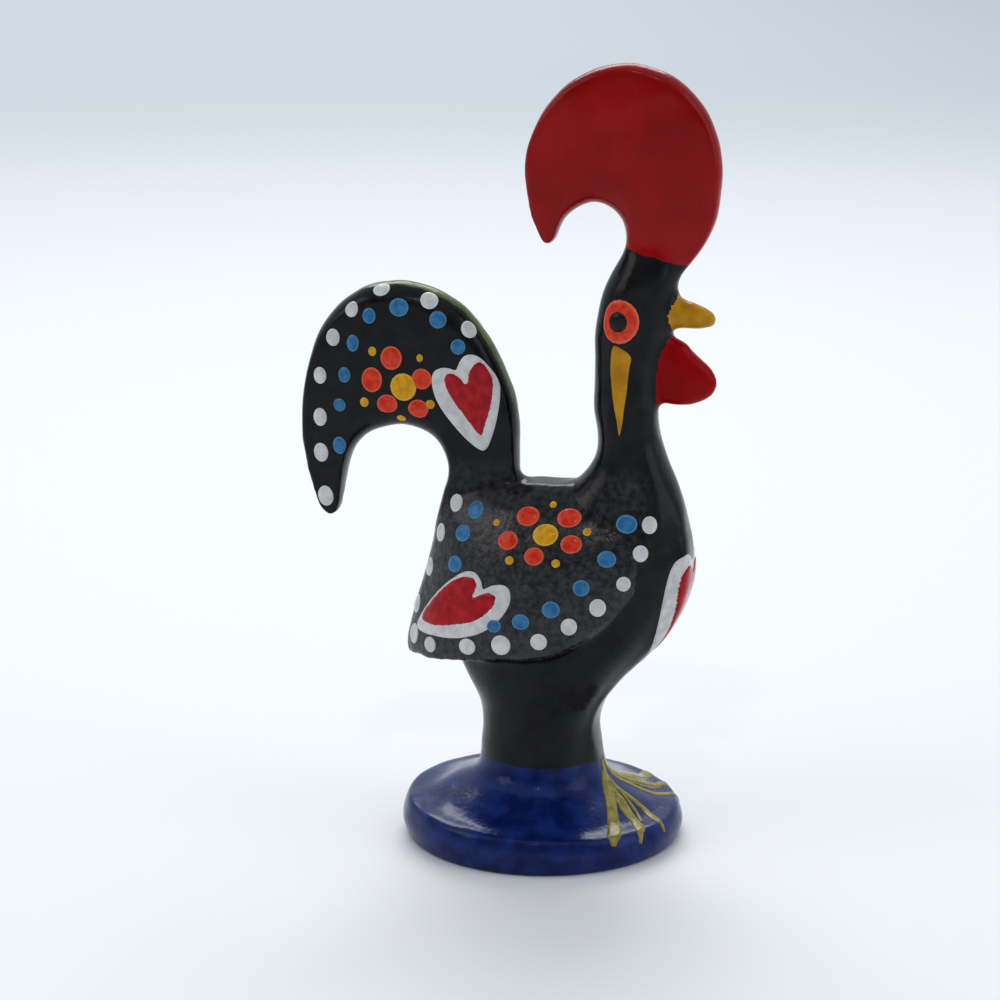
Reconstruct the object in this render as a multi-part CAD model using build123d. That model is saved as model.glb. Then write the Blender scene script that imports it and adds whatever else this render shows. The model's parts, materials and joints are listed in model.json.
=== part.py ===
from build123d import *
import math
import os

# A painted clay rooster on a round foot, 120 mm tall, put together from moulded and hand-cut pieces.
# Millimetres. The origin is the centre of the foot's resting ring, +X is where the beak points, +Z is up.

# Foot: a thrown dish with a stem, open underneath, whose spigot closes the hollow body.
base_height = 13.0
base_rest_radius = 21.2
base_rim_radius = 22.0
base_rim_height = 5.2
base_shoulder_round = 1.3
base_slope_drop = 2.3
base_slope_radius = 15.0
stem_radius = 9.6
foot_ring_width = 3.4
foot_hollow_depth = 3.2
foot_hollow_round = 1.5
vent_radius = 2.4
spigot_height = 4.0
spigot_clearance = 0.2

# Figure: waist, belly, breast, neck and head in one, made as a hollow right and left half that meet
# on the XZ plane.
trunk_height = 44.0
neck_height = 36.0
breast_reach = 23.1
trunk_half_width = 11.0
body_wall = 3.4

# Mantle: the body's outer shell from the back ridge down to the flared lower edge of the wings.
mantle_tail_reach = 21.6
mantle_breast_reach = 22.6
mantle_half_width = 13.8
mantle_drop = 30.0
wing_wall = 2.4

# Tail: a hooked plate of rounded section whose root is let into the back.
tail_rise = 29.5
tail_reach = 34.2
tail_root_front = 3.9
tail_thickness = 8.2
tail_crown_radius = 130.0

# Comb: a round plate with a hook at the nape and a tenon that goes down into the head.
comb_radius = 14.8
comb_axis_x = 11.9
comb_rise = 12.1
comb_thickness = 7.0
comb_crown_radius = 74.0

# Beak and wattle, which start from the throat.
throat_reach = 20.0
beak_reach = 6.1
beak_height = 5.2
beak_width = 4.8
beak_drop = 9.9
wattle_height = 10.2
wattle_reach = 8.8
wattle_thickness = 5.0
wattle_root_depth = 2.0

# Heights and places that follow from the sizes above.
saddle_z = base_height + trunk_height
head_z = saddle_z + neck_height
comb_axis_z = head_z + comb_rise
figure_height = trunk_height + neck_height
beak_z = head_z - beak_drop
wattle_top_z = beak_z - beak_height * 0.70
body_length = breast_reach + mantle_tail_reach
far = 4 * body_length

# One row for each level of the figure: height over the foot as a share of figure_height, rear
# reach, widest place and front reach as shares of breast_reach, then half width as a share of
# trunk_half_width.
figure_section_shares = (
    (0.056, -0.407, -0.013, 0.372, 0.809),
    (0.113, -0.437, 0.000, 0.429, 0.845),
    (0.169, -0.532, 0.043, 0.580, 0.936),
    (0.225, -0.597, 0.130, 0.758, 1.000),
    (0.287, -0.589, 0.216, 0.913, 1.000),
    (0.350, -0.502, 0.303, 0.987, 0.945),
    (0.412, -0.329, 0.390, 1.000, 0.836),
    (0.475, -0.087, 0.455, 0.970, 0.709),
    (0.537, 0.182, 0.532, 0.909, 0.609),
    (0.600, 0.346, 0.571, 0.818, 0.536),
    (0.662, 0.346, 0.558, 0.758, 0.482),
    (0.738, 0.333, 0.541, 0.749, 0.445),
    (0.812, 0.333, 0.554, 0.805, 0.445),
    (0.875, 0.351, 0.580, 0.857, 0.464),
    (0.931, 0.411, 0.619, 0.874, 0.418),
    (0.975, 0.485, 0.671, 0.883, 0.327),
    (1.000, 0.537, 0.701, 0.892, 0.218),
)

# The hollow's middle line: where it starts and ends as shares of breast_reach, and its height over
# the foot as a share of figure_height.
hollow_reach_shares = (-0.10, 0.36)
hollow_rise_share = 0.265

# One row for each level of the mantle: depth under the back ridge as a share of mantle_drop, rear
# reach as a share of mantle_tail_reach, widest place and front reach as shares of
# mantle_breast_reach, half width as a share of mantle_half_width, then the fullness of the rear.
mantle_section_shares = (
    (1.00, -0.985, 0.060, 0.850, 1.000, 1.70),
    (0.86, -1.000, 0.090, 0.885, 0.990, 1.70),
    (0.66, -0.925, 0.150, 0.930, 0.945, 1.75),
    (0.44, -0.840, 0.230, 0.955, 0.850, 1.80),
    (0.24, -0.775, 0.290, 0.940, 0.690, 1.90),
    (0.10, -0.700, 0.330, 0.880, 0.450, 2.00),
    (0.02, -0.480, 0.330, 0.800, 0.200, 2.00),
)

# The wings' lower edge in side view: place along the body as a share of body_length from the tail
# end, and depth under the ridge as a share of mantle_drop.
wing_edge_shares = (
    (-0.100, 0.955),
    (0.045, 0.955),
    (0.270, 0.905),
    (0.400, 0.868),
    (0.540, 0.840),
    (0.660, 0.760),
    (0.760, 0.640),
    (0.840, 0.480),
    (0.900, 0.300),
    (0.935, 0.100),
)

# The wings' upper edge, from the front back to the tail end, in the same shares.
wing_top_shares = (
    (0.800, 0.230),
    (0.620, 0.170),
    (0.380, 0.140),
    (0.150, 0.160),
    (-0.100, 0.200),
)

# One row for each station of the tail, from its root over the top to the tip: inner edge and outer
# edge as reach behind the root's front in shares of tail_reach and rise over the ridge in shares of
# tail_rise.
tail_station_shares = (
    (0.390, -0.356, -0.015, -0.356),
    (0.354, -0.130, -0.005, -0.120),
    (0.322, 0.034, 0.000, 0.152),
    (0.348, 0.130, 0.014, 0.383),
    (0.405, 0.198, 0.096, 0.630),
    (0.480, 0.232, 0.266, 0.888),
    (0.558, 0.239, 0.515, 0.997),
    (0.652, 0.210, 0.781, 0.915),
    (0.728, 0.152, 0.939, 0.661),
    (0.775, 0.078, 0.997, 0.346),
    (0.804, -0.020, 0.994, 0.119),
    (0.822, -0.122, 0.965, -0.068),
    (0.833, -0.197, 0.936, -0.190),
    (0.848, -0.241, 0.906, -0.241),
)
tail_tip_share = (0.877, -0.259)
tail_crown_share = (0.450, 0.540)

# The comb's stations in the same form, from its tenon over the crest to the hook at the nape, in
# shares of comb_radius from the comb's axis.
comb_station_shares = (
    (-0.080, -1.200, 0.560, -1.200),
    (-0.010, -0.990, 0.670, -1.020),
    (0.027, -0.777, 0.885, -0.696),
    (0.007, -0.615, 0.990, -0.277),
    (-0.074, -0.486, 0.946, 0.297),
    (-0.176, -0.419, 0.581, 0.811),
    (-0.291, -0.392, 0.000, 1.000),
    (-0.405, -0.419, -0.520, 0.826),
    (-0.507, -0.480, -0.845, 0.474),
    (-0.588, -0.561, -1.000, 0.027),
    (-0.649, -0.662, -0.973, -0.358),
    (-0.686, -0.743, -0.899, -0.642),
    (-0.716, -0.791, -0.824, -0.777),
)
comb_tip_share = (-0.775, -0.821)

# The levels that a plate is lofted through, as shares of its half thickness, and how much of its
# half width the rounding of its edge takes.
plate_level_shares = (0.00, 0.38, 0.70, 0.92, 1.00)
plate_round_share = 0.45

# The beak's stations: reach past the throat as a share of beak_reach, height and width as shares of
# beak_height and beak_width, and the drop of its middle as a share of beak_height.
beak_station_shares = (
    (-0.55, 1.00, 1.00, -0.01),
    (0.03, 1.00, 0.96, 0.00),
    (0.46, 0.78, 0.80, 0.07),
    (0.80, 0.56, 0.62, 0.14),
    (0.94, 0.36, 0.40, 0.17),
    (1.00, 0.10, 0.12, 0.18),
)

# The wattle's levels: drop as a share of wattle_height, reach as a share of wattle_reach, and
# thickness as a share of wattle_thickness.
wattle_level_shares = (
    (0.00, 0.25, 0.52),
    (0.15, 0.53, 0.80),
    (0.35, 0.76, 0.96),
    (0.56, 0.98, 1.00),
    (0.76, 0.99, 0.96),
    (0.91, 0.85, 0.78),
    (1.00, 0.62, 0.48),
)
throat_share = 0.875

# How full the ovals are: two is an ellipse, more is squarer.
oval_fullness = 2.0
breast_fullness = 2.3
mantle_fullness = 2.25


def oval(plane, rear, widest, front, half_width, rear_fullness, front_fullness):
    """An egg-shaped section on the plane, long in its X and symmetric about it."""
    steps = 4
    half = []
    for reach, fullness in ((rear - widest, rear_fullness), (front - widest, front_fullness)):
        quarter = []
        for i in range(steps + 1):
            turn = math.radians(90 * i / steps)
            along = math.cos(turn) ** (2 / fullness)
            across = math.sin(turn) ** (2 / fullness)
            quarter.append((widest + reach * along, half_width * across))
        half += quarter if not half else quarter[-2::-1]
    spacing = [i / (2 * steps) for i in range(2 * steps + 1)]
    left = Edge.make_spline(half, tangents=[(0, 1), (0, -1)], parameters=spacing)
    opposite = [(x, -y) for x, y in half]
    right = Edge.make_spline(opposite, tangents=[(0, -1), (0, 1)], parameters=spacing)
    return plane * Face(Wire([left, right]))


def figure():
    """The body from the top of the foot over the breast to the crown of the head."""
    sections = [
        oval(
            Plane.XY.offset(base_height), -stem_radius, 0, stem_radius, stem_radius, oval_fullness, oval_fullness
        )
    ]
    for rise, rear, widest, front, width in figure_section_shares:
        sections.append(
            oval(
                Plane.XY.offset(base_height + rise * figure_height),
                rear * breast_reach,
                widest * breast_reach,
                front * breast_reach,
                width * trunk_half_width,
                oval_fullness,
                breast_fullness,
            )
        )
    return loft(sections)


def hollow():
    """The hollow of the body: a round-ended tunnel, and the well at its foot that takes the spigot."""
    radius = trunk_half_width - body_wall
    rear, front = (breast_reach * share for share in hollow_reach_shares)
    middle_z = base_height + hollow_rise_share * figure_height
    tunnel = Pos((rear + front) / 2, 0, middle_z) * Rot(0, 90, 0) * Cylinder(radius, front - rear)
    for end in (rear, front):
        tunnel += Pos(end, 0, middle_z) * Sphere(radius)
    well_top = middle_z - base_height
    return tunnel + Pos(0, 0, base_height + well_top / 2) * Cylinder(stem_radius - body_wall, well_top)


def mantle(rows, inset):
    """The shell that carries the wings, lofted through these rows and drawn in by the inset."""
    sections = []
    for depth, rear, widest, front, width, fullness in rows:
        sections.append(
            oval(
                Plane.XY.offset(saddle_z - depth * mantle_drop),
                rear * mantle_tail_reach + inset,
                widest * mantle_breast_reach,
                front * mantle_breast_reach - inset,
                width * mantle_half_width - inset,
                fullness,
                mantle_fullness,
            )
        )
    return loft(sections)


def hooked_plate(stations, tip, half_thickness, crown_radius, crown_centre):
    """A plate in the XZ plane, drawn across a hook from inner to outer points and round its tip.

    Its edge is rounded as a share of each station's width, and its two faces are domed.
    """
    middles = [((a[0] + b[0]) / 2, (a[1] + b[1]) / 2) for a, b in stations]
    ends = [outer for inner, outer in stations] + [tip] + [inner for inner, outer in stations[::-1]]
    centres = middles + [middles[-1]] + middles[::-1]
    layers = []
    for level in plate_level_shares:
        draw_in = plate_round_share * (1 - math.sqrt(1 - level**2))
        points = [
            (x + draw_in * (centre_x - x), z + draw_in * (centre_z - z))
            for (x, z), (centre_x, centre_z) in zip(ends, centres)
        ]
        with BuildSketch(Plane.XZ.offset(level * half_thickness)) as layer:
            with BuildLine():
                Spline(*points)
                Line(points[-1], points[0])
            make_face()
        layers.append(layer.sketch)
    dome = Pos(crown_centre[0], crown_radius - half_thickness, crown_centre[1]) * Sphere(crown_radius)
    near_half = loft(layers) & dome
    return near_half + mirror(near_half, about=Plane.XZ)


def tail():
    """The tail with its root."""

    def place(reach, rise):
        return (-tail_root_front - reach * tail_reach, saddle_z + rise * tail_rise)

    stations = [(place(*row[:2]), place(*row[2:])) for row in tail_station_shares]
    return hooked_plate(
        stations, place(*tail_tip_share), tail_thickness / 2, tail_crown_radius, place(*tail_crown_share)
    )


def comb():
    """The comb with its tenon."""

    def place(along, rise):
        return (comb_axis_x + along * comb_radius, comb_axis_z + rise * comb_radius)

    stations = [(place(*row[:2]), place(*row[2:])) for row in comb_station_shares]
    return hooked_plate(
        stations, place(*comb_tip_share), comb_thickness / 2, comb_crown_radius, place(0, 0)
    )


def beak():
    """The beak: a blunt nose whose root is buried in the head."""
    sections = []
    for reach, height, width, drop in beak_station_shares:
        plane = Plane(
            origin=(throat_reach + reach * beak_reach, 0, beak_z - drop * beak_height),
            x_dir=(0, 1, 0),
            z_dir=(1, 0, 0),
        )
        sections.append(plane * Ellipse(width * beak_width / 2, height * beak_height / 2))
    return loft(sections)


def wattle():
    """The wattle: a lobe that hangs under the beak, with its back buried in the throat."""
    rear = throat_share * throat_reach - wattle_root_depth
    sections = []
    for drop, reach, thickness in wattle_level_shares:
        half_length = (reach * wattle_reach + wattle_root_depth) / 2
        level = Plane.XY.offset(wattle_top_z - drop * wattle_height)
        lobe = Pos(rear + half_length, 0) * Ellipse(half_length, thickness * wattle_thickness / 2)
        sections.append(level * lobe)
    return loft(sections)


def side_view_point(along_share, depth_share):
    """A point of the wings' edges in side view."""
    return (along_share * body_length - mantle_tail_reach, saddle_z - depth_share * mantle_drop)


def prism(outline):
    """The region inside a closed side-view outline, right through the object."""
    with BuildSketch(Plane.XZ) as sketch:
        with BuildLine():
            outline()
        make_face()
    return extrude(sketch.sketch, amount=far, both=True)


def below_wings():
    """Everything under the wings' lower edge."""
    edge = [side_view_point(*share) for share in wing_edge_shares]

    def outline():
        Spline(*edge)
        Polyline(edge[-1], (far, edge[-1][1]), (far, -far), (-far, -far), (-far, edge[0][1]), edge[0])

    return prism(outline)


def wing_side():
    """The wings' side-view region, from below their lower edge up to just under the back ridge."""
    edge = [side_view_point(*share) for share in wing_edge_shares[:-2]]
    top = [side_view_point(*share) for share in wing_top_shares]
    low = saddle_z - 2 * mantle_drop

    def outline():
        Spline(edge[-1], *top)
        Polyline(top[-1], (-far, top[-1][1]), (-far, low), (edge[-1][0], low), edge[-1])

    return prism(outline)


def base():
    """The foot, turned from one profile, with its resting ring, hollow, vent and spigot."""
    hollow_radius = base_rest_radius - foot_ring_width
    spigot_radius = stem_radius - body_wall - spigot_clearance
    spigot_top = base_height + spigot_height
    with BuildSketch(Plane.XZ) as profile:
        with BuildLine():
            rim = Spline(
                (base_rest_radius, 0),
                (base_rim_radius, base_rim_height / 2),
                (base_rim_radius - base_shoulder_round / 2, base_rim_height),
                tangents=[(0.4, 1), (-0.4, 1)],
            )
            slope = Spline(
                rim @ 1,
                (base_rim_radius - 2 * base_shoulder_round, base_rim_height + base_shoulder_round / 2),
                (base_slope_radius, base_rim_height + base_slope_drop),
                (stem_radius, base_height),
                tangents=[(-0.4, 1), (0, 1)],
            )
            Polyline(
                slope @ 1,
                (spigot_radius, base_height),
                (spigot_radius, spigot_top),
                (vent_radius, spigot_top),
                (vent_radius, foot_hollow_depth),
                (hollow_radius - foot_hollow_round, foot_hollow_depth),
                (hollow_radius, 0),
                (base_rest_radius, 0),
            )
        make_face()
    return revolve(profile.sketch, axis=Axis.Z)


def build():
    """All the pieces by name: the right side is made first and mirrored to the left."""
    right_side = Pos(0, -far / 2, 0) * Box(2 * far, far, 2 * far)
    half_figure = figure() & right_side
    half_mantle = (mantle(mantle_section_shares, 0) & right_side) - below_wings()
    wing_lining = mantle(mantle_section_shares[:-1], wing_wall)
    right_wing = (half_mantle & wing_side()) - wing_lining - half_figure
    left_wing = mirror(right_wing, about=Plane.XZ)

    comb_piece = comb()
    beak_piece = beak()
    wattle_piece = wattle()
    tail_piece = tail() - right_wing - left_wing
    right_half = half_mantle + half_figure - right_wing
    right_half = right_half - comb_piece - beak_piece - wattle_piece - tail_piece - hollow()
    return {
        "base": base(),
        "body_right_half": right_half,
        "body_left_half": mirror(right_half, about=Plane.XZ),
        "right_wing": right_wing,
        "left_wing": left_wing,
        "tail": tail_piece,
        "comb": comb_piece,
        "beak": beak_piece,
        "wattle": wattle_piece,
    }


os.makedirs("parts", exist_ok=True)
for name, piece in build().items():
    export_step(piece, f"parts/{name}.step")
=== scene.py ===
"""Looks of the painted clay rooster: smoothed clay, enamel dabs, camera, light and floor.

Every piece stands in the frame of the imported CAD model. Sizes here are in millimetres and
become metres where a mesh is made.
"""

from __future__ import annotations

import json
import logging
import math
from dataclasses import dataclass, field
from enum import Enum
from typing import Iterable, Mapping, Optional, Sequence, Union

import bmesh
import bpy
import numpy as np
from mathutils import Matrix, Vector
from mathutils.bvhtree import BVHTree
from mathutils.geometry import delaunay_2d_cdt

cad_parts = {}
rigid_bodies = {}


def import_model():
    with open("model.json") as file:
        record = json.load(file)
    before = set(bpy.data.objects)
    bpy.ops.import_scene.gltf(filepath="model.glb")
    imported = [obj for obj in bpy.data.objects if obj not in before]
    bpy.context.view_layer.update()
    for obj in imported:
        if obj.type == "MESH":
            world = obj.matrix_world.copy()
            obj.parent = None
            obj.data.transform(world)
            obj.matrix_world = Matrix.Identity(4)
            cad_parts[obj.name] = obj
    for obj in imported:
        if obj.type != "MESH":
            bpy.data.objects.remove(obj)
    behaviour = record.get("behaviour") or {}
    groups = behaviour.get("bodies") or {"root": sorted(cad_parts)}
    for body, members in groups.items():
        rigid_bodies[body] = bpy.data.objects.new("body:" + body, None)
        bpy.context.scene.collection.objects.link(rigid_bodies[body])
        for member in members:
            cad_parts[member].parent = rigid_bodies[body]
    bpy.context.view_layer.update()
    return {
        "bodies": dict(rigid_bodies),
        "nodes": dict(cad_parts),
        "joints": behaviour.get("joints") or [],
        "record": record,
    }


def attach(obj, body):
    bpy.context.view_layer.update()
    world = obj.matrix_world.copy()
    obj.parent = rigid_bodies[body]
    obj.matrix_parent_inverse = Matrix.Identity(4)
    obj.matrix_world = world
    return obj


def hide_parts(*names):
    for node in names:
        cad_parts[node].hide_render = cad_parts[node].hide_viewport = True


LOG = logging.getLogger("rooster")
MM = 0.001
TINY = 1e-12

Colour = tuple[float, float, float]
Point = tuple[float, float, float]
Spot = tuple[float, float]
Key = Union[str, int]
Number = Union["Wire", float]


class Flank(Enum):
    """The two sides of the rooster, with the sign of Y on each."""

    RIGHT = -1.0
    LEFT = 1.0


class Facing(Enum):
    """The way in which a flat outline is laid on to the clay."""

    FLANK = "flank"
    BREAST = "breast"


class Zone(Enum):
    """Where a second enamel covers the first one on the same piece."""

    NONE = "none"
    CROWN = "crown"
    FOOT = "foot"
    TAIL_RIM = "tail rim"


@dataclass(frozen=True)
class Wire:
    """A node's output that can be used in sums."""

    graph: NodeGraph
    socket: Optional[bpy.types.NodeSocket]

    def other(self, output: Key) -> Wire:
        """Another output of the same node."""
        return Wire(self.graph, self.socket.node.outputs[output])

    def _math(self, operation: str, *values: Number) -> Wire:
        """Adds one Math node.

        Args:
            operation: Name of the Math operation.
            values: Its inputs in order.

        Returns:
            The node's result.
        """
        return self.graph.node("ShaderNodeMath", {"operation": operation}, dict(enumerate(values)))

    def __add__(self, other: Number) -> Wire:
        """Sum."""
        return self._math("ADD", self, other)

    def __sub__(self, other: Number) -> Wire:
        """Difference."""
        return self._math("SUBTRACT", self, other)

    def __rsub__(self, other: Number) -> Wire:
        """Difference from a plain number."""
        return self._math("SUBTRACT", other, self)

    def __mul__(self, other: Number) -> Wire:
        """Product."""
        return self._math("MULTIPLY", self, other)

    def size(self) -> Wire:
        """Value without its sign."""
        return self._math("ABSOLUTE", self)

    def most(self, other: Number) -> Wire:
        """Larger of the two values."""
        return self._math("MAXIMUM", self, other)

    def rise(self, low: float, high: float) -> Wire:
        """A soft step.

        Args:
            low: Value where the step is still 0.
            high: Value where it has reached 1.

        Returns:
            The step.
        """
        settings = {"interpolation_type": "SMOOTHSTEP"}
        return self.graph.node(
            "ShaderNodeMapRange", settings, {"Value": self, "From Min": low, "From Max": high}
        )


class NodeGraph:
    """A node tree, with the one method that adds nodes to it."""

    def __init__(self, tree: bpy.types.NodeTree) -> None:
        """Keeps the tree."""
        self.tree = tree

    def node(
        self,
        kind: str,
        settings: Mapping[str, object],
        values: Mapping[Key, object],
        output: Key = 0,
    ) -> Wire:
        """Adds one node.

        Args:
            kind: Blender's type name of the node.
            settings: The node's own settings.
            values: Numbers, colours or wires by input name or place.
            output: Name or place of the output that is wanted.

        Returns:
            That output.
        """
        made = self.tree.nodes.new(kind)
        for key, value in settings.items():
            setattr(made, key, value)
        for key, value in values.items():
            if isinstance(value, Wire):
                self.tree.links.new(value.socket, made.inputs[key])
            else:
                made.inputs[key].default_value = value
        return Wire(self, made.outputs[output] if len(made.outputs) else None)


class PaintGraph(NodeGraph):
    """The nodes of one material or of the world, with the patterns that the paints need."""

    def __init__(
        self, owner: Union[bpy.types.Material, bpy.types.World], coordinates: str = "Object"
    ) -> None:
        """Empties the tree of its owner and starts from these coordinates."""
        owner.use_nodes = True
        super().__init__(owner.node_tree)
        self.owner = owner
        self.tree.nodes.clear()
        self.coords = self.node("ShaderNodeTexCoord", {}, {}, coordinates)

    def parts(self) -> tuple[Wire, ...]:
        """The three numbers of the coordinates."""
        first = self.node("ShaderNodeSeparateXYZ", {}, {0: self.coords})
        return tuple(first.other(i) for i in range(3))

    def place(self) -> tuple[Wire, ...]:
        """The shaded point's X, Y and Z in millimetres."""
        return tuple(part * (1 / MM) for part in self.parts())

    def seen(self) -> Wire:
        """1 for the rays that show the background: camera, glossy and transmission rays."""
        camera = self.node("ShaderNodeLightPath", {}, {}, "Is Camera Ray")
        return camera.most(camera.other("Is Glossy Ray")).most(camera.other("Is Transmission Ray"))

    def speckle(self, size: float, detail: float = 2.0, stretch: Point = (1, 1, 1)) -> Wire:
        """Noise from 0 to 1.

        Args:
            size: Size of its patches in millimetres.
            detail: How many finer layers it has.
            stretch: How much longer the patches are along each axis.

        Returns:
            The noise value.
        """
        scale = tuple(1 / (size * MM * s) for s in stretch)
        drawn = self.node("ShaderNodeMapping", {}, {"Vector": self.coords, "Scale": scale})
        values = {"Vector": drawn, "Scale": 1.0, "Detail": detail}
        return self.node("ShaderNodeTexNoise", {}, values)

    def blend(self, share: Number, first: object, second: object) -> Wire:
        """A colour between two others."""
        values = {0: share, 6: first, 7: second}
        return self.node("ShaderNodeMix", {"data_type": "RGBA"}, values, 2)


@dataclass(frozen=True)
class Borders:
    """Where one paint ends and another begins on the same piece, in millimetres."""

    wobble_patch: float = 2.5
    wobble_width: float = 0.9
    soft: float = 0.10
    crown_middle: float = 12.7
    crown_height: float = 92.8
    crown_slope: float = 0.35
    crown_bend: float = 0.0105
    nape: Spot = (9.4, 91.5)
    nape_soft: float = 0.5
    foot_height: float = 13.5
    rim_half_width: float = 1.5
    rim_soft: float = 0.15
    hook_centre: Spot = (-23.2, 56.0)
    hook_squares: Spot = (150, 180)
    rim_height: float = 68.0
    rim_height_soft: float = 2.0
    rim_wobble: float = 3.0
    rim_front: float = 52.0
    rim_lean: float = 0.9
    rim_front_soft: float = 3.0
    mantle_ends: Spot = (-20.0, 19.0)
    mantle_heights: Spot = (44.0, 61.0)
    mantle_soft: float = 4.0
    mantle_low_soft: float = 3.0
    ridge: Spot = (1.0, 4.0)

    def cover(self, graph: PaintGraph, zone: Zone) -> Wire:
        """The share of the second paint.

        Args:
            graph: The material being made.
            zone: Where the second paint lies.

        Returns:
            1 on the second paint and 0 on the first.
        """
        x, y, z = graph.place()
        wobble = (graph.speckle(self.wobble_patch) - 0.5) * self.wobble_width
        if zone is Zone.CROWN:
            along = x - self.crown_middle
            line = self.crown_height - along * self.crown_slope + along * along * self.crown_bend
            above = (z - line + wobble).rise(-self.soft, self.soft)
            behind = (self.nape[0] - x).rise(-self.soft, self.soft)
            return above.most(behind * (z - self.nape[1]).rise(0.0, self.nape_soft))
        if zone is Zone.FOOT:
            return (self.foot_height - z + wobble).rise(-self.soft, self.soft)
        edge = (self.rim_half_width - y.size() + wobble).rise(-self.rim_soft, self.rim_soft)
        across, up = x - self.hook_centre[0], z - self.hook_centre[1]
        outside_hook = (across * across + up * up).rise(*self.hook_squares)
        high = z - self.rim_height + wobble * self.rim_wobble
        above = high.rise(-self.rim_height_soft, self.rim_height_soft)
        front = z + x * self.rim_lean - self.rim_front
        return edge * outside_hook * above * front.rise(-self.rim_front_soft, self.rim_front_soft)

    def mantle_sheen(self, graph: PaintGraph) -> Wire:
        """1 on the back and shoulders, where the wings blend into the body and painted sheen is
        laid on, and 0 elsewhere.
        """
        x, y, z = graph.place()
        (rear, front), (low, high) = self.mantle_ends, self.mantle_heights
        along = (x - rear).rise(0.0, self.mantle_soft) * (front - x).rise(0.0, self.mantle_soft)
        above = (z - low).rise(0.0, self.mantle_low_soft)
        below = (high - z).rise(0.0, self.mantle_soft)
        return along * above * below * y.size().rise(*self.ridge)


@dataclass(frozen=True)
class Enamel:
    """One paint as it dries on the clay, with its gloss and the marks that the brush leaves."""

    name: str
    colour: Colour
    # Second tone of the uneven paint; on the wing its charcoal is painted reflection.
    thick_and_sheen: Colour
    patch: float = 5.0
    patch_detail: float = 3.0
    gloss: float = 0.12
    unevenness: float = 0.14
    mirror: float = 0.14
    coat: float = 0.08
    coat_roughness: float = 0.08
    dimple: float = 0.9
    dimple_depth: float = 0.02
    brush_depth: float = 0.015
    brush_size_share: float = 0.6
    brush_detail: float = 1.0
    gloss_size_share: float = 0.5
    brush_stretch: Point = (1, 1, 4)
    contrast: Spot = (0.3, 0.7)
    # Rim colour: painted highlight at a drop's thin edge.
    rim: Optional[Colour] = None
    rim_highlight_band: Spot = (0.25, 0.62)
    mantle_sheen: Optional[Colour] = None
    fleck: float = 1.0

    def colour_in(self, graph: PaintGraph) -> Wire:
        """This paint's colour, a little uneven, with flecks of painted sheen where it has them, and
        a lighter rim at a drop's thin edge that is painted highlight, partly the thin paint's own
        colour.
        """
        patches = graph.speckle(self.patch, self.patch_detail).rise(*self.contrast)
        inner = graph.blend(patches, (*self.colour, 1), (*self.thick_and_sheen, 1))
        if self.mantle_sheen is not None:
            # Charcoal flecks of painted sheen on the back and shoulders, like the sky's reflection
            # on the wings.
            sheen_flecks = graph.speckle(self.fleck, self.patch_detail).rise(*self.contrast)
            inner = graph.blend(sheen_flecks * Borders().mantle_sheen(graph), inner, (*self.mantle_sheen, 1))
        if self.rim is None:
            return inner
        # The lighter rim at a drop's thin edge is painted highlight, and partly the thin paint's
        # own colour.
        dome = graph.node("ShaderNodeAttribute", {"attribute_name": "dome"}, {}, "Fac")
        return graph.blend(dome.rise(*self.rim_highlight_band), (*self.rim, 1), inner)

    def material(
        self, zone: Zone = Zone.NONE, over: Optional[Enamel] = None
    ) -> bpy.types.Material:
        """Makes the material.

        Args:
            zone: Where another paint covers this one.
            over: That other paint.

        Returns:
            The finished material.
        """
        name = self.name if over is None else f"{self.name}_and_{over.name}"
        graph = PaintGraph(bpy.data.materials.new(name))
        colour = self.colour_in(graph)
        if over is not None:
            colour = graph.blend(Borders().cover(graph, zone), colour, over.colour_in(graph))
        dimples = graph.speckle(self.dimple)
        fine = self.dimple * self.brush_size_share
        strokes = graph.speckle(fine, self.brush_detail, self.brush_stretch)
        relief = dimples * self.dimple_depth + strokes * self.brush_depth
        values = {"Strength": 1.0, "Distance": MM, "Height": relief}
        bump = graph.node("ShaderNodeBump", {}, values, "Normal")
        spots = graph.speckle(self.patch * self.gloss_size_share)
        roughness = spots * self.unevenness + self.gloss
        values = {
            "Base Color": colour,
            "Roughness": roughness,
            "Normal": bump,
            "Specular IOR Level": self.mirror,
            "Coat Weight": self.coat,
            "Coat Roughness": self.coat_roughness,
        }
        shader = graph.node("ShaderNodeBsdfPrincipled", {}, values)
        graph.node("ShaderNodeOutputMaterial", {}, {"Surface": shader})
        return graph.owner


BLACK = Enamel(
    "black_enamel",
    (0.004, 0.004, 0.0045),
    (0.009, 0.009, 0.010),
    patch=3.0,
    gloss=0.09,
    unevenness=0.22,
    mirror=0.12,
    dimple_depth=0.03,
    brush_depth=0.03,
    brush_stretch=(1, 1, 5),
    # Charcoal flecks of painted sheen on the upper back and shoulders.
    mantle_sheen=(0.032, 0.032, 0.035),
)
# Its charcoal second tone is painted reflection of the sky in the dimples, spread in random
# patches.
WING_BLACK = Enamel(
    "dimpled_black_enamel",
    (0.004, 0.004, 0.005),
    (0.032, 0.032, 0.035),
    patch=1.0,
    gloss=0.20,
    mirror=0.30,
    dimple=1.0,
    dimple_depth=0.16,
    brush_depth=0.05,
    brush_stretch=(1, 1, 1.6),
)
CRIMSON = Enamel(
    "crimson_enamel",
    (0.24, 0.0010, 0.0015),
    (0.33, 0.0025, 0.0040),
    patch=9,
    mirror=0.05,
    coat=0.03,
    dimple_depth=0.006,
)
COBALT = Enamel(
    "cobalt_enamel",
    (0.002, 0.009, 0.075),
    (0.007, 0.024, 0.150),
    patch=3,
    gloss=0.09,
    unevenness=0.2,
    dimple=1.3,
    dimple_depth=0.08,
)
OCHRE = Enamel("ochre_enamel", (0.42, 0.175, 0.002), (0.56, 0.27, 0.006), patch=2)
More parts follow.
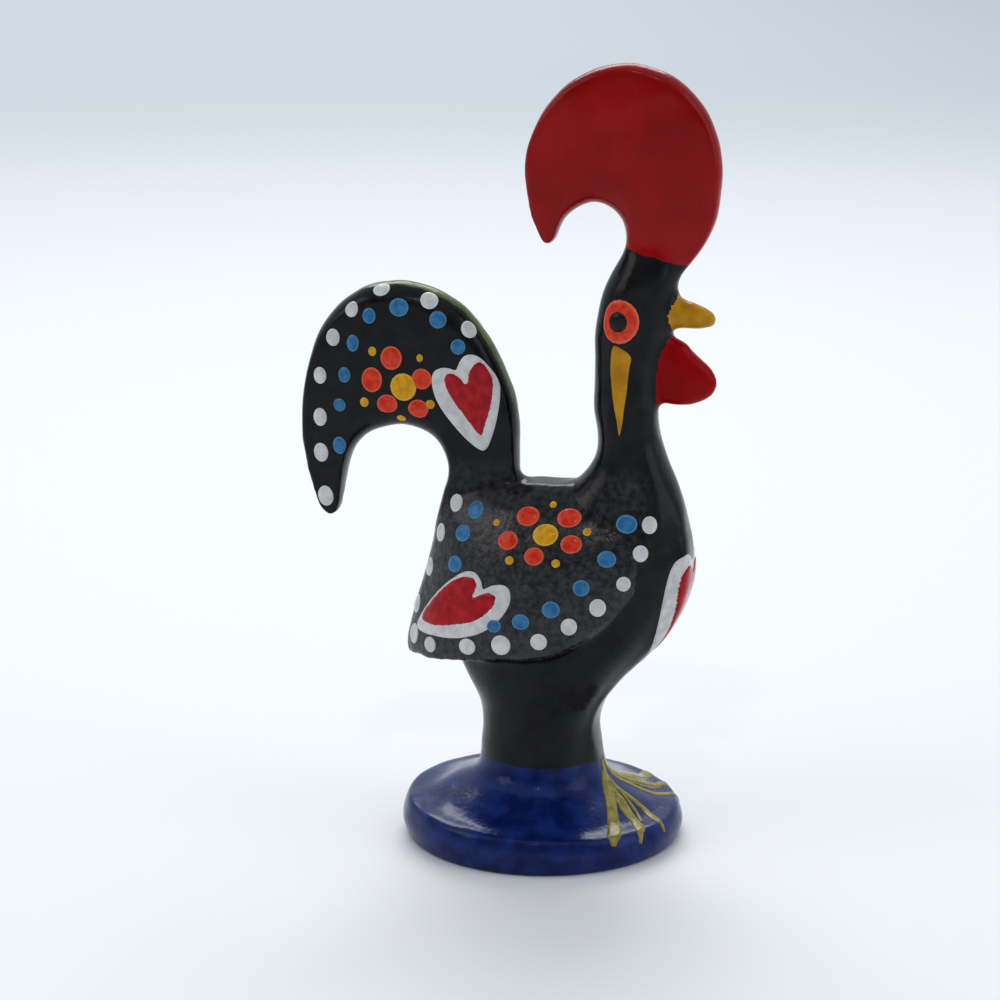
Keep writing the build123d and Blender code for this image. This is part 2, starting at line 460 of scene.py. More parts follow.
OLIVE = Enamel("olive_enamel", (0.055, 0.085, 0.006), (0.10, 0.15, 0.02), patch=2)
STRAW = Enamel("straw_enamel", (0.19, 0.16, 0.02), (0.34, 0.28, 0.06), patch=1.2)
JET = Enamel("pupil_black_enamel", (0.004, 0.004, 0.005), (0.008, 0.008, 0.010), patch=1.5)
# The rim colours below are painted highlight at each drop's thin edge, and on the red heart partly
# the thin red's own pink over the white.
WHITE = Enamel(
    "white_enamel",
    (0.56, 0.565, 0.57),
    (0.72, 0.725, 0.73),
    patch=1.4,
    gloss=0.22,
    dimple_depth=0.05,
    rim=(0.76, 0.765, 0.77),
)
SKY = Enamel(
    "sky_blue_enamel", (0.018, 0.125, 0.30), (0.040, 0.20, 0.42), patch=0.9, rim=(0.085, 0.30, 0.50)
)
CORAL = Enamel(
    "coral_enamel", (0.56, 0.020, 0.006), (0.76, 0.058, 0.020), patch=0.9, rim=(0.82, 0.15, 0.08)
)
AMBER = Enamel(
    "amber_enamel", (0.58, 0.26, 0.002), (0.76, 0.39, 0.006), patch=0.9, rim=(0.80, 0.52, 0.06)
)
HEART_RED = Enamel(
    "heart_red_enamel",
    (0.29, 0.003, 0.007),
    (0.47, 0.008, 0.016),
    patch=1.3,
    rim=(0.74, 0.24, 0.24),
)


def placed(name: str, mesh: bpy.types.Mesh) -> bpy.types.Object:
    """Puts a mesh in the scene as an object.

    Args:
        name: The object's name.
        mesh: Its mesh.

    Returns:
        The object, with its origin at the frame's.
    """
    made = bpy.data.objects.new(name, mesh)
    bpy.context.scene.collection.objects.link(made)
    return made


def baked(holder: bpy.types.Object) -> bpy.types.Mesh:
    """A new mesh with all the object's modifiers applied."""
    graph = bpy.context.evaluated_depsgraph_get()
    return bpy.data.meshes.new_from_object(holder.evaluated_get(graph))


@dataclass
class ClaySkin:
    """The clay surface of the whole figure, with the joints between its pieces smoothed over."""

    voxel: float = 0.35
    joint_reach: float = 2.4
    overall_passes: int = 6
    joint_passes: int = 70
    pull_share: float = 0.5
    wall: float = 0.8
    merge_distance: float = 0.002
    plug_radius: float = 3.0
    plug_depth: float = 6.0
    plug_height: float = 14.5
    plug_sides: int = 32
    breast_start: float = 10.0
    breast_low: float = 22.0
    breast_high: float = 66.0
    breast_fade: float = 4.0
    foot_tilt: float = 0.034
    tilt_rise: float = 5.0
    tilt_top: float = 16.0
    tilt_fade: float = 7.0
    waviness: float = 0.07
    wave_sizes: tuple[float, ...] = (5.0, 6.5, 8.5, 11.0)
    waves_each: int = 3
    last_phase: float = 6.28
    firm_height: float = 0.8
    firm_fade: float = 2.0
    seed: int = 4
    points: np.ndarray = field(default_factory=lambda: np.zeros((0, 3)))
    faces: list[tuple[int, ...]] = field(default_factory=list)
    labels: np.ndarray = field(default_factory=lambda: np.zeros(0, int))
    names: list[str] = field(default_factory=list)

    def build(self, nodes: Mapping[str, bpy.types.Object]) -> None:
        """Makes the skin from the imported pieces, with a plug in the base's vent.

        Args:
            nodes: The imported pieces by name.
        """
        self.names = sorted(nodes)
        joined = bmesh.new()
        trees = []
        for name in self.names:
            piece = self._merged(nodes[name])
            trees.append(BVHTree.FromBMesh(piece))
            mesh = bpy.data.meshes.new("part")
            piece.to_mesh(mesh)
            piece.free()
            joined.from_mesh(mesh)
            bpy.data.meshes.remove(mesh)
        bmesh.ops.create_cone(
            joined,
            cap_ends=True,
            segments=self.plug_sides,
            radius1=self.plug_radius * MM,
            radius2=self.plug_radius * MM,
            depth=self.plug_depth * MM,
            matrix=Matrix.Translation((0, 0, self.plug_height * MM)),
        )
        self._remesh(joined)
        gaps = self._distances(trees)
        self.labels = self._face_labels(np.argmin(gaps, axis=0), trees)
        second = np.sort(gaps, axis=0)[1]
        joint = np.clip(1 - second / self.joint_reach, 0, 1)
        self._smooth(np.maximum(joint, self._breast()))
        self._hand_marks()
        LOG.info("clay skin: %d points, %d faces", len(self.points), len(self.faces))

    def _merged(self, node: bpy.types.Object) -> bmesh.types.BMesh:
        """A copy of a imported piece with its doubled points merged."""
        piece = bmesh.new()
        piece.from_mesh(node.data)
        bmesh.ops.remove_doubles(piece, verts=piece.verts, dist=self.merge_distance * MM)
        return piece

    def _remesh(self, joined: bmesh.types.BMesh) -> None:
        """Turns the joined pieces into one even skin.

        Args:
            joined: All pieces in one mesh, which is freed here.
        """
        mesh = bpy.data.meshes.new("joined")
        joined.to_mesh(mesh)
        joined.free()
        holder = placed("joined", mesh)
        remesh = holder.modifiers.new("even", "REMESH")
        remesh.mode = "VOXEL"
        remesh.voxel_size = self.voxel * MM
        even = baked(holder)
        self.points = np.zeros(len(even.vertices) * 3)
        even.vertices.foreach_get("co", self.points)
        self.points = self.points.reshape(-1, 3) / MM
        self.faces = [tuple(face.vertices) for face in even.polygons]
        bpy.data.objects.remove(holder)
        bpy.data.meshes.remove(mesh)
        bpy.data.meshes.remove(even)

    def _distances(self, trees: Sequence[BVHTree]) -> np.ndarray:
        """How far each point is from each piece.

        Args:
            trees: One search tree for each piece.

        Returns:
            One row of distances in millimetres for each piece.
        """
        reach = self.joint_reach * MM
        rows = np.full((len(trees), len(self.points)), self.joint_reach)
        places = [Vector(point * MM) for point in self.points]
        for row, tree in zip(rows, trees):
            for i, place in enumerate(places):
                found = tree.find_nearest(place, reach)
                if found[0] is not None:
                    row[i] = found[3] / MM
        return rows

    def _face_labels(self, nearest: np.ndarray, trees: Sequence[BVHTree]) -> np.ndarray:
        """Says to which piece each face belongs.

        Args:
            nearest: The nearest piece of each point.
            trees: One search tree for each piece.

        Returns:
            The number of the piece for each face.
        """
        labels = np.zeros(len(self.faces), int)
        for i, face in enumerate(self.faces):
            found = {int(nearest[v]) for v in face}
            if len(found) > 1:
                centre = Vector(self.points[list(face)].mean(axis=0) * MM)
                labels[i] = min(found, key=lambda k: trees[k].find_nearest(centre)[3])
            else:
                labels[i] = found.pop()
        return labels

    def _breast(self) -> np.ndarray:
        """1 on the breast and the front of the neck, where the wings run out, and 0 elsewhere."""
        x, _, z = self.points.T
        insides = (x - self.breast_start, z - self.breast_low, self.breast_high - z)
        return np.prod([np.clip(inside / self.breast_fade, 0, 1) for inside in insides], axis=0)

    def _smooth(self, joint: np.ndarray) -> None:
        """Smooths the skin lightly all over, and more where pieces meet.

        Args:
            joint: 1 on a joint between pieces or on the breast, falling to 0 away from it.
        """
        pairs = (pair for face in self.faces for pair in zip(face, face[1:] + face[:1]))
        ends = np.array(sorted({tuple(sorted(pair)) for pair in pairs}))
        first = np.concatenate([ends[:, 0], ends[:, 1]])
        other = np.concatenate([ends[:, 1], ends[:, 0]])
        count = np.bincount(first, minlength=len(self.points))
        everywhere = np.ones(len(self.points))
        for share in [everywhere] * self.overall_passes + [joint] * self.joint_passes:
            sums = [np.bincount(first, self.points[other, k], len(count)) for k in range(3)]
            pull = np.stack([total / count for total in sums], axis=1)
            self.points += (pull - self.points) * (self.pull_share * share)[:, None]

    def _hand_marks(self) -> None:
        """Gives the foot its slight tilt and the whole surface the waviness of hand work."""
        x, _, z = self.points.T
        share = np.clip(z / self.tilt_rise, 0, 1)
        share *= np.clip((self.tilt_top - z) / self.tilt_fade, 0, 1)
        self.points[:, 2] -= self.foot_tilt * x * share
        dice = np.random.default_rng(self.seed)
        wave = np.zeros(len(self.points))
        for size in self.wave_sizes:
            for _ in range(self.waves_each):
                direction = dice.normal(size=3)
                direction /= np.linalg.norm(direction)
                phase = dice.uniform(0, self.last_phase)
                wave += np.sin(self.points @ direction * (2 * math.pi / size) + phase)
        firm = np.clip((z - self.firm_height) / self.firm_fade, 0, 1)
        height = wave * firm * self.waviness / len(self.wave_sizes)
        self.points += self._normals() * height[:, None]

    def _normals(self) -> np.ndarray:
        """The outward direction at each point."""
        corners = np.array([face if len(face) == 4 else (*face, face[2]) for face in self.faces])
        a, b, c, d = (self.points[corners[:, k]] for k in range(4))
        across = np.cross(c - a, d - b)
        weights = (np.repeat(across[:, k], 4) for k in range(3))
        sums = [np.bincount(corners.ravel(), weight, len(self.points)) for weight in weights]
        total = np.stack(sums, axis=1)
        return total / np.maximum(np.linalg.norm(total, axis=1, keepdims=True), TINY)

    def tree(self) -> BVHTree:
        """A search tree of the finished skin, in metres."""
        return BVHTree.FromPolygons([Vector(p * MM) for p in self.points], self.faces)

    def solid(self) -> bpy.types.Object:
        """The whole skin as a helper object for laying paint on, which is removed later."""
        mesh = bpy.data.meshes.new("skin")
        mesh.from_pydata((self.points * MM).tolist(), [], self.faces)
        mesh.shade_smooth()
        return placed("skin", mesh)

    def piece(self, name: str, material: bpy.types.Material) -> bpy.types.Object:
        """Cuts one piece out of the skin and gives it a wall.

        Args:
            name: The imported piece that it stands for.
            material: Its paint.

        Returns:
            The finished object.
        """
        wanted = np.flatnonzero(self.labels == self.names.index(name))
        chosen = [self.faces[i] for i in wanted]
        used = sorted({v for face in chosen for v in face})
        number = {v: i for i, v in enumerate(used)}
        shell = [tuple(number[v] for v in face) for face in chosen]
        normals = self._normals()[used]
        outer = self.points[used] * MM
        inner = outer - normals * self.wall * MM
        count = len(used)
        directed = {pair for face in shell for pair in zip(face, face[1:] + face[:1])}
        rims = [(b, a, a + count, b + count) for a, b in directed if (b, a) not in directed]
        faces = shell + [tuple(v + count for v in face[::-1]) for face in shell] + rims
        mesh = bpy.data.meshes.new(f"painted_{name}")
        mesh.from_pydata(np.concatenate([outer, inner]).tolist(), [], faces)
        mesh.shade_smooth()
        mesh.normals_split_custom_set_from_vertices(np.concatenate([normals, -normals]).tolist())
        mesh.materials.append(material)
        return placed(f"painted_{name}", mesh)


@dataclass(frozen=True)
class Outline:
    """A closed outline of one flat touch of paint, as two coordinates in millimetres."""

    name: str
    enamel: Enamel
    corners: tuple[Spot, ...]
    facing: Facing = Facing.FLANK
    rise: float = 0.16


@dataclass
class Brush:
    """Lays flat touches of paint on the clay, following its surface."""

    skin: BVHTree
    spacing: float = 0.32
    shoulder: float = 0.45
    sink: float = 0.12
    steps: int = 8
    row_share: float = 0.866
    edge_gap: float = 0.4
    edge_sink: float = 0.5
    start_distance: float = 60.0
    ray_reach: float = 57.0
    point_merge: float = 1e-6
    path_passes: int = 6
    stroke_rise: float = 0.14
    profile: tuple[float, ...] = (-1.0, -0.85, -0.5, 0.0, 0.5, 0.85, 1.0)

    def curve(self, corners: Sequence[Spot]) -> list[Vector]:
        """Rounds a closed outline.

        Args:
            corners: Its points in order, which it bends softly through.

        Returns:
            Points close together along it.
        """
        plain = [Vector(c) for c in corners]
        count = len(plain)
        found = []
        for i in range(count):
            p0, p1, p2, p3 = (plain[(i + k) % count] for k in (-1, 0, 1, 2))
            for step in range(self.steps):
                t = step / self.steps
                bend = (
                    2 * p1
                    + (p2 - p0) * t
                    + (2 * p0 - 5 * p1 + 4 * p2 - p3) * t**2
                    + (3 * p1 - p0 - 3 * p2 + p3) * t**3
                )
                found.append(bend / 2)
        return found

    def landing(self, point: Vector, facing: Facing, flank: Flank) -> tuple[Vector, Vector]:
        """Finds where a point of an outline meets the clay.

        Args:
            point: Its two coordinates in millimetres.
            facing: From where it is laid on.
            flank: The side of the rooster.

        Returns:
            The place in metres and the outward direction there.
        """
        away = self.start_distance * MM
        if facing is Facing.FLANK:
            start = Vector((point.x * MM, flank.value * away, point.y * MM))
            ray = Vector((0, -flank.value, 0))
        else:
            start = Vector((away, point.x * MM, point.y * MM))
            ray = Vector((-1, 0, 0))
        place, normal, _, _ = self.skin.ray_cast(start, ray)
        if place is None:
            place, normal, _, _ = self.skin.find_nearest(start + ray * self.ray_reach * MM)
        return place, normal

    def lay(self, outline: Outline, flank: Flank, label: str) -> bpy.types.Object:
        """Makes one raised touch of paint.

        Args:
            outline: Its shape and paint.
            flank: The side of the rooster.
            label: What its name ends with.

        Returns:
            The finished object.
        """
        ring = self.curve(outline.corners)
        low = Vector((min(p.x for p in ring), min(p.y for p in ring)))
        high = Vector((max(p.x for p in ring), max(p.y for p in ring)))
        inside = []
        gap = self.spacing * self.edge_gap
        rows = int((high.y - low.y) / (self.spacing * self.row_share)) + 1
        for row in range(rows):
            height = low.y + row * self.spacing * self.row_share
            start = low.x + (row % 2) * self.spacing / 2
            for column in range(int((high.x - start) / self.spacing) + 1):
                spot = Vector((start + column * self.spacing, height))
                if self._within(spot, ring) and self._edge_distance(spot, ring) > gap:
                    inside.append(spot)
        edges = [(i, (i + 1) % len(ring)) for i in range(len(ring))]
        flat, _, cells, *_ = delaunay_2d_cdt(ring + inside, edges, [], 1, self.point_merge)
        landed = [self.landing(p, outline.facing, flank) for p in flat]
        depth = [min(self._edge_distance(p, ring) / self.shoulder, 1) for p in flat]
        domes = [math.sqrt(1 - (1 - share) ** 2) for share in depth]
        top, bottom = [], []
        for (place, normal), dome in zip(landed, domes):
            top.append(place + normal * outline.rise * MM * dome)
            deep = 1 if dome > 0 else self.edge_sink
            bottom.append(place - normal * self.sink * MM * deep)
        shape = bmesh.new()
        upper = [shape.verts.new(p) for p in top]
        lower = [shape.verts.new(p) for p in bottom]
        for cell in cells:
            shape.faces.new([upper[v] for v in cell])
            shape.faces.new([lower[v] for v in reversed(cell)])
        shape.verts.index_update()
        count = len(upper)
        border = [e for e in shape.edges if e.is_boundary and e.verts[0].index < count]
        for edge in border:
            loop = edge.link_loops[0]
            a, b = loop.vert.index, loop.link_loop_next.vert.index
            shape.faces.new([upper[b], upper[a], lower[a], lower[b]])
        return self._finish(shape, f"{outline.name}_{label}", outline.enamel, domes + [0.0] * count)

    def stroke(
        self, name: str, enamel: Enamel, path: Sequence[Point], widths: Sequence[float]
    ) -> bpy.types.Object:
        """Makes one long brush stroke.

        Args:
            name: Its name.
            enamel: Its paint.
            path: Points near the clay that it runs along, in millimetres.
            widths: Its width at each of those points, in millimetres.

        Returns:
            The finished object.
        """
        places, spans = [], []
        for i in range(len(path) - 1):
            for step in range(self.steps):
                share = step / self.steps
                places.append(Vector(path[i]).lerp(Vector(path[i + 1]), share) * MM)
                spans.append(widths[i] + (widths[i + 1] - widths[i]) * share)
        places.append(Vector(path[-1]) * MM)
        spans.append(widths[-1])
        for _ in range(self.path_passes):
            threes = zip(places, places[1:], places[2:])
            places[1:-1] = [(a + b * 2 + c) / 4 for a, b, c in threes]
        shape = bmesh.new()
        heights = [math.sqrt(1 - share**2) for share in self.profile]
        rings, domes = [], []
        for i, (place, span) in enumerate(zip(places, spans)):
            centre, normal, _, _ = self.skin.find_nearest(place)
            ahead = places[min(i + 1, len(places) - 1)] - places[max(i - 1, 0)]
            side = normal.cross(ahead).normalized()
            spots = [centre + side * share * span / 2 * MM for share in self.profile]
            landed = [self.skin.find_nearest(spot)[:2] for spot in spots]
            over = [
                spot + up * self.stroke_rise * MM * high
                for (spot, up), high in zip(landed, heights)
            ]
            under = [spot - up * self.sink * MM for spot, up in reversed(landed)]
            rings.append([shape.verts.new(spot) for spot in over + under])
            domes += heights + [0.0] * len(heights)
        for one, two in zip(rings, rings[1:]):
            for k in range(len(one)):
                j = (k + 1) % len(one)
                shape.faces.new([one[k], one[j], two[j], two[k]])
        shape.faces.new(rings[0][::-1])
        shape.faces.new(rings[-1])
        return self._finish(shape, name, enamel, domes)

    @staticmethod
    def _within(spot: Vector, ring: Sequence[Vector]) -> bool:
        """Whether the spot lies inside the closed ring."""
        inside = False
        for a, b in zip(ring, [*ring[1:], ring[0]]):
            if (a.y > spot.y) != (b.y > spot.y):
                if spot.x < a.x + (spot.y - a.y) * (b.x - a.x) / (b.y - a.y):
                    inside = not inside
        return inside

    @staticmethod
    def _edge_distance(spot: Vector, ring: Sequence[Vector]) -> float:
        """How far the spot is from the ring."""
        best = math.inf
        for a, b in zip(ring, [*ring[1:], ring[0]]):
            run = b - a
            along = (spot - a).dot(run) / max(run.length_squared, TINY)
            share = max(0.0, min(1.0, along))
            best = min(best, (spot - a - run * share).length)
        return best

    @staticmethod
    def _finish(
        shape: bmesh.types.BMesh, name: str, enamel: Enamel, domes: Sequence[float]
    ) -> bpy.types.Object:
        """Turns the mesh in work into an object with its paint.

        Args:
            shape: The mesh, which is freed here.
            name: The object's name.
            enamel: Its paint.
            domes: How far up its own rounding each point is, from 0 to 1.

        Returns:
            The finished object.
        """
        bmesh.ops.recalc_face_normals(shape, faces=shape.faces)
        mesh = bpy.data.meshes.new(name)
        shape.to_mesh(mesh)
        shape.free()
        mesh.attributes.new("dome", "FLOAT", "POINT").data.foreach_set("value", domes)
        mesh.shade_smooth()
        mesh.materials.append(enamel.material())
        return placed(name, mesh)


@dataclass
class DabTree:
    """The Geometry Nodes tree that sets a rounded drop of enamel on each point and lays it on."""

    segments: int = 20
    rings: int = 8
    noise_scale: float = 900.0
    thinnest: float = 0.6

    def build(self) -> bpy.types.NodeTree:
        """Makes the tree.

        Returns:
            A tree with inputs for the clay, the paint and the thickness.
        """
        tree = bpy.data.node_groups.new("enamel_dabs", "GeometryNodeTree")
        sockets = (
            ("Geometry", "OUTPUT", "Geometry"),
            ("Geometry", "INPUT", "Geometry"),
            ("Clay", "INPUT", "Object"),
            ("Paint", "INPUT", "Material"),
            ("Thickness", "INPUT", "Float"),
            ("Uneven", "INPUT", "Float"),
        )
        for label, way, kind in sockets:
            tree.interface.new_socket(label, in_out=way, socket_type=f"NodeSocket{kind}")
        graph = NodeGraph(tree)
        given = graph.node("NodeGroupInput", {}, {}, "Geometry")
        real = graph.node("GeometryNodeRealizeInstances", {}, {0: self._discs(graph, given)})
        relative = {"transform_space": "RELATIVE"}
        values = {"Object": given.other("Clay")}
        clay = graph.node("GeometryNodeObjectInfo", relative, values, "Geometry")
        near = graph.node(
            "GeometryNodeProximity", {"target_element": "FACES"}, {0: clay}, "Position"
        )
        normal = graph.node("GeometryNodeInputNormal", {}, {})
        up = graph.node(
            "GeometryNodeSampleNearestSurface",
            {"data_type": "FLOAT_VECTOR"},
            {"Mesh": clay, "Value": normal},
        )
        noise = graph.node("ShaderNodeTexNoise", {}, {"Scale": self.noise_scale, "Detail": 1.0})
        uneven = noise * given.other("Uneven") + self.thinnest
        lift = self._kept(graph, "dome", "FLOAT") * given.other("Thickness") * uneven
        raised = graph.node("ShaderNodeVectorMath", {"operation": "SCALE"}, {0: up, 3: lift})
        final = graph.node("ShaderNodeVectorMath", {"operation": "ADD"}, {0: near, 1: raised})
        moved = graph.node("GeometryNodeSetPosition", {}, {"Geometry": real, "Position": final})
        smooth = graph.node("GeometryNodeSetShadeSmooth", {}, {"Geometry": moved})
        values = {"Geometry": smooth, "Material": given.other("Paint")}
        graph.node("NodeGroupOutput", {}, {0: graph.node("GeometryNodeSetMaterial", {}, values)})
        return tree

    @staticmethod
    def _kept(graph: NodeGraph, label: str, kind: str) -> Wire:
        """A value that is kept on the points under this label."""
        return graph.node("GeometryNodeInputNamedAttribute", {"data_type": kind}, {"Name": label})

    def _discs(self, graph: NodeGraph, points: Wire) -> Wire:
        """Sets a flattened ball on each point, which keeps its old heights as "dome".

        Args:
            graph: The tree being made.
            points: The points of the drops.

        Returns:
            The discs as instances.
        """
        values = {"Segments": self.segments, "Rings": self.rings, "Radius": 1.0}
        ball = graph.node("GeometryNodeMeshUVSphere", {}, values, "Mesh")
        where = graph.node("GeometryNodeInputPosition", {}, {})
        height = graph.node("ShaderNodeSeparateXYZ", {}, {0: where}, 2)
        stored = graph.node(
            "GeometryNodeStoreNamedAttribute",
            {"data_type": "FLOAT", "domain": "POINT"},
            {"Geometry": ball, "Name": "dome", "Value": height},
        )
        flat = graph.node(
            "ShaderNodeVectorMath", {"operation": "MULTIPLY"}, {0: where, 1: (1, 1, 0)}
        )
        pressed = graph.node("GeometryNodeSetPosition", {}, {"Geometry": stored, "Position": flat})
        values = {
            "Points": points,
            "Instance": pressed,
            "Rotation": self._kept(graph, "turn", "FLOAT_VECTOR"),
            "Scale": self._kept(graph, "radii", "FLOAT_VECTOR"),
        }
        return graph.node("GeometryNodeInstanceOnPoints", {}, values)


@dataclass(frozen=True)
class Dab:
    """One round drop of paint: its place on the right flank and its two radii, in millimetres."""

    x: float
    y: float
    z: float
    wide: float
    tall: float


def drops(*rows: tuple[float, ...]) -> tuple[Dab, ...]:
    """Drops from rows of X, Y, Z and the two radii."""
    return tuple(Dab(*row) for row in rows)


@dataclass
class DabRow:
    """All drops of one paint on one part of the rooster."""

    name: str
    enamel: Enamel
    dabs: tuple[Dab, ...]
    thickness: float = 0.30
    uneven: float = 0.7
    steep: float = 0.35

    def make(
        self, tree: bpy.types.NodeTree, clay: bpy.types.Object, skin: BVHTree
    ) -> bpy.types.Object:
        """Sets the drops on both flanks.

        Args:
            tree: The Geometry Nodes tree that makes a drop.
            clay: The whole skin as an object.
            skin: The skin's search tree.

        Returns:
            The drops as one plain mesh object.
        """
        places, turns, radii = [], [], []
        for flank in Flank:
            for dab in self.dabs:
                start = Vector((dab.x, abs(dab.y) * flank.value, dab.z)) * MM
                place, normal, _, _ = skin.find_nearest(start)
                side = Vector((1, 0, 0)) - normal * normal.x
                if side.length < self.steep:
                    side = Vector((0, 1, 0)) - normal * normal.y
                side.normalize()
                frame = Matrix((side, normal.cross(side), normal)).transposed()
                places.append(place)
                turns.append(frame.to_euler())
                radii.append((dab.wide * MM, dab.tall * MM, 1.0))
        mesh = bpy.data.meshes.new(self.name)
        mesh.from_pydata(places, [], [])
        for label, rows in (("turn", turns), ("radii", radii)):
            stored = mesh.attributes.new(label, "FLOAT_VECTOR", "POINT")
            stored.data.foreach_set("vector", [c for row in rows for c in row])
        holder = placed(self.name, mesh)
        modifier = holder.modifiers.new("dabs", "NODES")
        modifier.node_group = tree
        given = {
            "Clay": clay,
            "Paint": self.enamel.material(),
            "Thickness": self.thickness * MM,
            "Uneven": self.uneven,
        }
        for item in tree.interface.items_tree:
            if item.in_out == "INPUT" and item.name in given:
                modifier[item.identifier] = given[item.name]
        bpy.context.view_layer.update()
        made = baked(holder)
        holder.modifiers.remove(modifier)
        for label in ("turn", "radii"):
            if label in made.attributes:
                made.attributes.remove(made.attributes[label])
        holder.data = made
        bpy.data.meshes.remove(mesh)
        return holder


@dataclass(frozen=True)
class PartPaint:
    """The paint on each side of the tail, or on each wing: rows of dots, a flower and a heart."""

    white: tuple[Dab, ...]
    blue: tuple[Dab, ...]
    petals: tuple[Dab, ...]
    heart: tuple[Dab, ...]
    specks: tuple[Dab, ...]
    border: Outline
    red: Outline


TAIL_PAINT = PartPaint(
    white=drops(
        (-24.8, -2.0, 85.0, 1.35, 1.30), (-29.2, -2.6, 82.2, 1.10, 1.30),
        (-32.3, -2.8, 77.8, 1.10, 1.35), (-34.5, -2.8, 71.8, 1.05, 1.34),
        (-34.7, -2.8, 65.2, 1.10, 1.45), (-34.8, -2.6, 59.5, 1.20, 1.55),
        (-34.5, -2.2, 52.3, 1.30, 1.70), (-17.3, -2.6, 83.9, 1.40, 1.55),
        (-11.2, -2.6, 79.7, 1.35, 1.40),
    ),
    blue=drops(
        (-21.8, -3.4, 82.9, 1.52, 1.44), (-26.5, -3.3, 81.4, 1.04, 1.22),
        (-29.1, -3.6, 77.1, 0.98, 1.31), (-30.6, -3.8, 72.1, 0.98, 1.21),
        (-31.5, -3.8, 67.3, 0.99, 1.03), (-31.7, -3.6, 60.8, 1.10, 1.40),
        (-15.7, -3.3, 81.2, 1.35, 1.37), (-12.6, -3.3, 77.2, 1.15, 1.18),
    ),
    petals=drops(
        (-23.0, -4.0, 75.1, 1.70, 1.84), (-26.1, -4.0, 71.6, 1.65, 1.95),
        (-18.2, -4.0, 72.1, 1.57, 1.62), (-23.7, -4.0, 67.9, 1.64, 1.49),
        (-18.8, -4.0, 67.4, 1.62, 1.48),
    ),
    heart=drops((-21.1, -4.0, 70.7, 2.08, 2.15)),
    specks=drops(
        (-26.0, -4.0, 76.0, 0.62, 0.73), (-18.5, -4.0, 75.3, 0.50, 0.60),
        (-27.4, -4.0, 68.0, 0.70, 0.76), (-16.9, -4.0, 68.2, 0.70, 0.70),
        (-21.8, -3.6, 65.1, 0.74, 0.62),
    ),
    border=Outline(
        "tail_heart_border",
        WHITE,
        (
            (-8.6, 61.3), (-10.9, 62.5), (-13.6, 65.4), (-15.7, 68.5), (-16.6, 71.4),
            (-16.3, 73.2), (-15.1, 73.9), (-13.9, 73.9), (-12.9, 73.7), (-12.2, 75.1),
            (-11.5, 75.9), (-10.5, 76.1), (-9.3, 75.7), (-8.0, 74.4), (-6.8, 72.7), (-6.2, 70.9),
            (-6.3, 68.3), (-7.2, 64.3),
        ),
        rise=0.12,
    ),
    red=Outline(
        "tail_heart",
        HEART_RED,
        (
            (-9.2, 63.5), (-11.5, 66.3), (-13.8, 69.4), (-14.7, 71.7), (-14.5, 73.0),
            (-13.5, 73.3), (-12.3, 72.7), (-11.3, 71.7), (-10.9, 73.6), (-10.0, 74.8),
            (-9.1, 75.1), (-8.1, 74.2), (-7.3, 72.7), (-7.1, 71.0), (-7.5, 68.2), (-8.3, 65.5),
        ),
        rise=0.26,
    ),
)
